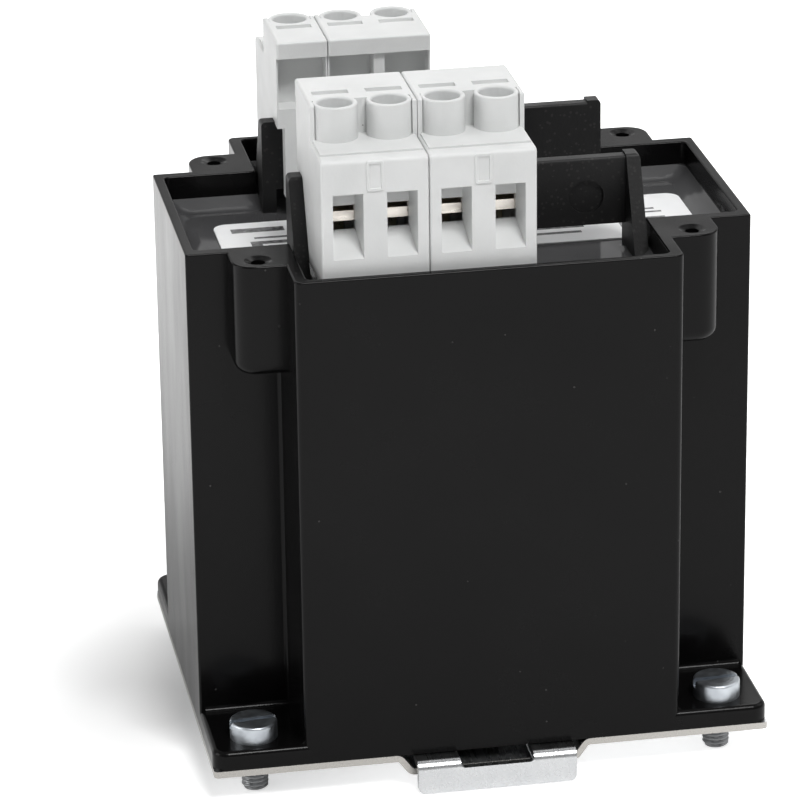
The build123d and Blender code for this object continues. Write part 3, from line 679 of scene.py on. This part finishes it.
def plateScrews(setup):
    low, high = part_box("plate_screws")
    size = {key: value * mm for key, value in setup["lengths"].items()}
    headBase = high[2] - size["headHeight"]
    seed = cutSlot(screwSeed(setup, size, headBase, low[2]), size, high[2])
    shadeByAngle(seed, setup["smoothAngle"])
    inputs = {
        "spanX": ("Float", high[0] - low[0] - 2 * size["headRadius"]),
        "spanY": ("Float", high[1] - low[1] - 2 * size["headRadius"]),
        "seed": ("Int", setup["seed"]),
    }
    tree, given, output = newTree("screwSet", inputs)
    keep = put(tree, "GeometryNodeStoreNamedAttribute", data_type="FLOAT_VECTOR", domain="POINT")
    keep.inputs["Name"].default_value = "screwPoint"
    join(tree, given["Geometry"], keep.inputs["Geometry"])
    join(tree, put(tree, "GeometryNodeInputPosition").outputs["Position"], keep.inputs["Value"])
    grid = put(tree, "GeometryNodeMeshGrid")
    grid.inputs["Vertices X"].default_value = 2
    grid.inputs["Vertices Y"].default_value = 2
    join(tree, given["spanX"], grid.inputs["Size X"])
    join(tree, given["spanY"], grid.inputs["Size Y"])
    turn = put(tree, "FunctionNodeRandomValue", data_type="FLOAT")
    turn.inputs[2].default_value = -setup["swing"]  # the number sockets
    turn.inputs[3].default_value = setup["swing"]
    join(tree, given["seed"], turn.inputs["Seed"])
    spin = put(tree, "ShaderNodeCombineXYZ")
    join(tree, turn.outputs[1], spin.inputs["Z"])
    copies = put(tree, "GeometryNodeInstanceOnPoints")
    join(tree, grid.outputs["Mesh"], copies.inputs["Points"])
    join(tree, keep.outputs["Geometry"], copies.inputs["Instance"])
    join(tree, spin.outputs["Vector"], copies.inputs["Rotation"])
    finish = turnedZinc("plateScrewZinc", screwLook, "screwPoint")
    closeTree(tree, copies.outputs["Instances"], finish, output)
    piece = growPiece("plateScrewSet", tree, inputs, seed)
    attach(piece, "transformer")
    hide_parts("plate_screws")


plateScrews(plateScrew)
print("plate screws cut")


# latch spring: round wire on a spiral, squeezed as the latch is pulled
latchCoil = {
    "turns": 9.0,
    "wire": 0.5,  # mm, as the next
    "outside": 2.3,
    "stepsPerTurn": 28,
    "wireSides": 10,
    "keep": 0.719,  # share of its length that is left when the latch is fully out
}


def latchSpring(setup):
    low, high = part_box("latch_spring")
    middleX, middleZ = ((low[i] + high[i]) / 2 for i in (0, 2))
    wire = setup["wire"] / 2 * mm
    inputs = {
        "turns": ("Float", setup["turns"]),
        "radius": ("Float", setup["outside"] / 2 * mm - wire),
        "length": ("Float", high[1] - low[1] - 2 * wire),
        "wire": ("Float", wire),
        "place": ("Vector", (middleX, low[1] + wire, middleZ)),
    }
    tree, given, output = newTree("springCoil", inputs)
    spiral = put(tree, "GeometryNodeCurveSpiral")
    spiral.inputs["Resolution"].default_value = setup["stepsPerTurn"]
    join(tree, given["turns"], spiral.inputs["Rotations"])
    join(tree, given["radius"], spiral.inputs["Start Radius"])
    join(tree, given["radius"], spiral.inputs["End Radius"])
    join(tree, given["length"], spiral.inputs["Height"])
    lay = put(tree, "GeometryNodeTransform")
    lay.inputs["Rotation"].default_value = (-math.pi / 2, 0.0, 0.0)
    join(tree, spiral.outputs["Curve"], lay.inputs["Geometry"])
    join(tree, given["place"], lay.inputs["Translation"])
    ring = put(tree, "GeometryNodeCurvePrimitiveCircle")
    ring.inputs["Resolution"].default_value = setup["wireSides"]
    join(tree, given["wire"], ring.inputs["Radius"])
    sweep = put(tree, "GeometryNodeCurveToMesh")
    sweep.inputs["Fill Caps"].default_value = True
    join(tree, lay.outputs["Geometry"], sweep.inputs["Curve"])
    join(tree, ring.outputs["Curve"], sweep.inputs["Profile Curve"])
    closeTree(tree, sweep.outputs["Mesh"], finishes["spring_steel"], output)
    piece = growPiece("latchSpringCoil", tree, inputs)
    piece.data.shade_smooth()
    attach(piece, "transformer")
    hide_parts("latch_spring")
    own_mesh(piece)


latchSpring(latchCoil)
print("latch spring wound")


# blank raised frames on the faces of the two-pole terminals
facePad = {
    "blocks": ("front_terminal_1", "front_terminal_2", "rear_terminal_2"),
    "width": 3.1,  # mm, as the next eight
    "height": 5.5,
    "above": 17.3,  # from the block's foot
    "rise": 0.25,
    "sink": 0.05,
    "rim": 0.5,
    "bevel": 0.12,
    "corner": 0.55,
    "leastCorner": 0.15,
    "bevelStart": 0.6,  # share of the rise
    "steps": 5,
    "smoothAngle": 35.0,
}


def padSeed(size):
    mesh = bmesh.new()
    loops = []
    rise, sink, rim, bevel = (size[k] for k in ("rise", "sink", "rim", "bevel"))
    shape = [(0.0, -sink), (0.0, rise * size["bevelStart"]), (bevel, rise), (rim, rise), (rim + bevel, -sink)]
    for inset, out in shape:
        halfX = size["width"] / 2 - inset
        halfZ = size["height"] / 2 - inset
        corner = max(size["leastCorner"], size["corner"] - inset)
        loop = []
        for quarter, (signX, signZ) in enumerate(((1, 1), (-1, 1), (-1, -1), (1, -1))):
            for step in range(size["steps"] + 1):
                angle = math.pi / 2 * (quarter + step / size["steps"])
                x = signX * (halfX - corner) + corner * math.cos(angle)
                z = signZ * (halfZ - corner) + corner * math.sin(angle)
                loop.append(mesh.verts.new((x * mm, -out * mm, z * mm)))
        loops.append(loop)
    for low, high in zip(loops, loops[1:] + loops[:1]):
        for i in range(len(low)):
            j = (i + 1) % len(low)
            mesh.faces.new((low[i], low[j], high[j], high[i]))
    bmesh.ops.recalc_face_normals(mesh, faces=mesh.faces)
    result = bpy.data.meshes.new("facePadSeed")
    mesh.to_mesh(result)
    mesh.free()
    return result


def facePads(size):
    for name in size["blocks"]:
        low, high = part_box(name)
        seed = padSeed(size)
        if name.startswith("front"):
            face = low[1]
        else:
            face = high[1]
            seed.transform(Matrix.Rotation(math.pi, 4, "Z"))
        level = low[2] + (size["above"] + size["height"] / 2) * mm
        seed.transform(Matrix.Translation(((low[0] + high[0]) / 2, face, level)))
        shadeByAngle(seed, size["smoothAngle"])
        seed.materials.append(finishes["terminal_grey"])
        piece = bpy.data.objects.new(name + "Frame", seed)
        scene.collection.objects.link(piece)
        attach(piece, "transformer")


facePads(facePad)
print("terminal frames raised")


# floor, white all round but for a painted shadow at the part's left, and soft studio light with the key from
# the front right; metres
studio = {
    "floorHalf": 4.0,
    "floorGap": 0.00002,
    "paper": (0.89, 0.89, 0.89),
    "white": 1.0,
    "ambient": 0.23,
    "glowAndPaintedShadow": {  # the floor's own glow to the eye, weak near a middle at the part's left and strong far off, so that open floor is white round the shadow and a painted shadow stays round that middle
        "middle": (-0.059, 0.004),
        "reach": (0.010, 0.058),
        "level": (0.12, 0.70),
    },
    "mirrorGlowAndPaintedShadow": {  # the same to reflections: a painted shadow in the mirrored floor, round a middle behind the part's left side
        "middle": (-0.06, 0.05),
        "reach": (0.04, 0.20),
        "level": (0.0, 0.60),
    },
    "frontGloss": 0.6,  # how bright the room in front of the part is to reflections
    "frontSpan": (-0.75, -0.1),
    "upperGloss": 0.4,  # the same, well above the horizon
    "upperSpan": (0.08, 0.30),
}
softboxes = {
    "key": {"place": (0.33, -1.14, 1.99), "aim": (0.0, 0.0, 0.09), "size": (0.7, 0.7), "power": 32.5},
    "right": {"place": (1.6, 0.15, 1.5), "aim": (0.0, 0.0, 0.05), "size": (1.4, 1.4), "power": 7.5},
    "left": {"place": (-1.55, -0.05, 0.75), "aim": (0.0, 0.0, 0.07), "size": (1.0, 1.0), "power": 9.0},
    "back": {"place": (0.3, 1.35, 1.25), "aim": (0.0, 0.0, 0.08), "size": (0.9, 0.9), "power": 6.5},
}


def floorGlow(tree, seen, glowAndPaintedShadow):
    away = put(tree, "ShaderNodeVectorMath", operation="LENGTH")
    x, y = glowAndPaintedShadow["middle"]
    join(tree, objectPoint(tree, move=(-x, -y, 0.0)), away.inputs[0])
    # painted shadow: the glow is weakest round the middle, so the floor reads darker there
    return sums(tree, "MULTIPLY", seen, spread(tree, away.outputs["Value"], *glowAndPaintedShadow["level"], *glowAndPaintedShadow["reach"]))


def directRays(tree, path):
    return sums(tree, "MAXIMUM", path.outputs["Is Camera Ray"], path.outputs["Is Transmission Ray"])


def layFloor(setup):
    z = cadBox[0][2] - setup["floorGap"]
    reach = setup["floorHalf"]
    corners = [(-reach, -reach, z), (reach, -reach, z), (reach, reach, z), (-reach, reach, z)]
    mesh = bpy.data.meshes.new("floor")
    mesh.from_pydata(corners, [], [(0, 1, 2, 3)])
    floor = bpy.data.objects.new("floor", mesh)
    scene.collection.objects.link(floor)
    paper = bpy.data.materials.new("floorPaper")
    paper.use_nodes = True
    tree = paper.node_tree
    tree.nodes.clear()
    matte = put(tree, "ShaderNodeBsdfDiffuse")
    matte.inputs["Color"].default_value = (*setup["paper"], 1.0)
    glow = put(tree, "ShaderNodeEmission")
    path = put(tree, "ShaderNodeLightPath")
    direct = floorGlow(tree, directRays(tree, path), setup["glowAndPaintedShadow"])
    mirrored = floorGlow(tree, path.outputs["Is Glossy Ray"], setup["mirrorGlowAndPaintedShadow"])
    join(tree, sums(tree, "ADD", direct, mirrored), glow.inputs["Strength"])
    both = put(tree, "ShaderNodeAddShader")
    join(tree, matte.outputs["BSDF"], both.inputs[0])
    join(tree, glow.outputs["Emission"], both.inputs[1])
    join(tree, both.outputs["Shader"], put(tree, "ShaderNodeOutputMaterial").inputs["Surface"])
    mesh.materials.append(paper)


def lightRoom(setup):
    room = bpy.data.worlds.new("studioRoom")
    room.use_nodes = True
    scene.world = room
    tree = room.node_tree
    air = tree.nodes["Background"]
    air.inputs["Color"].default_value = (1.0, 1.0, 1.0, 1.0)
    way = put(tree, "ShaderNodeSeparateXYZ")
    join(tree, put(tree, "ShaderNodeTexCoord").outputs["Generated"], way.inputs["Vector"])
    front = spread(tree, way.outputs["Y"], setup["frontGloss"], 1.0, *setup["frontSpan"])
    upper = spread(tree, way.outputs["Z"], 1.0, setup["upperGloss"], *setup["upperSpan"])
    gloss = sums(tree, "MULTIPLY", front, upper)
    path = put(tree, "ShaderNodeLightPath")
    light = blendValues(tree, path.outputs["Is Glossy Ray"], setup["ambient"], gloss)
    light = blendValues(tree, directRays(tree, path), light, setup["white"])
    join(tree, light, air.inputs["Strength"])


def hangSoftbox(name, setup):
    lamp = bpy.data.lights.new(name, "AREA")
    lamp.shape = "RECTANGLE"
    lamp.size, lamp.size_y = setup["size"]
    lamp.energy = setup["power"]
    box = bpy.data.objects.new(name, lamp)
    box.location = setup["place"]
    aim = Vector(setup["aim"]) - Vector(setup["place"])
    box.rotation_euler = aim.to_track_quat("-Z", "Y").to_euler()
    scene.collection.objects.link(box)


layFloor(studio)
lightRoom(studio)
for name, setup in softboxes.items():
    hangSoftbox(name, setup)
print("studio lit")
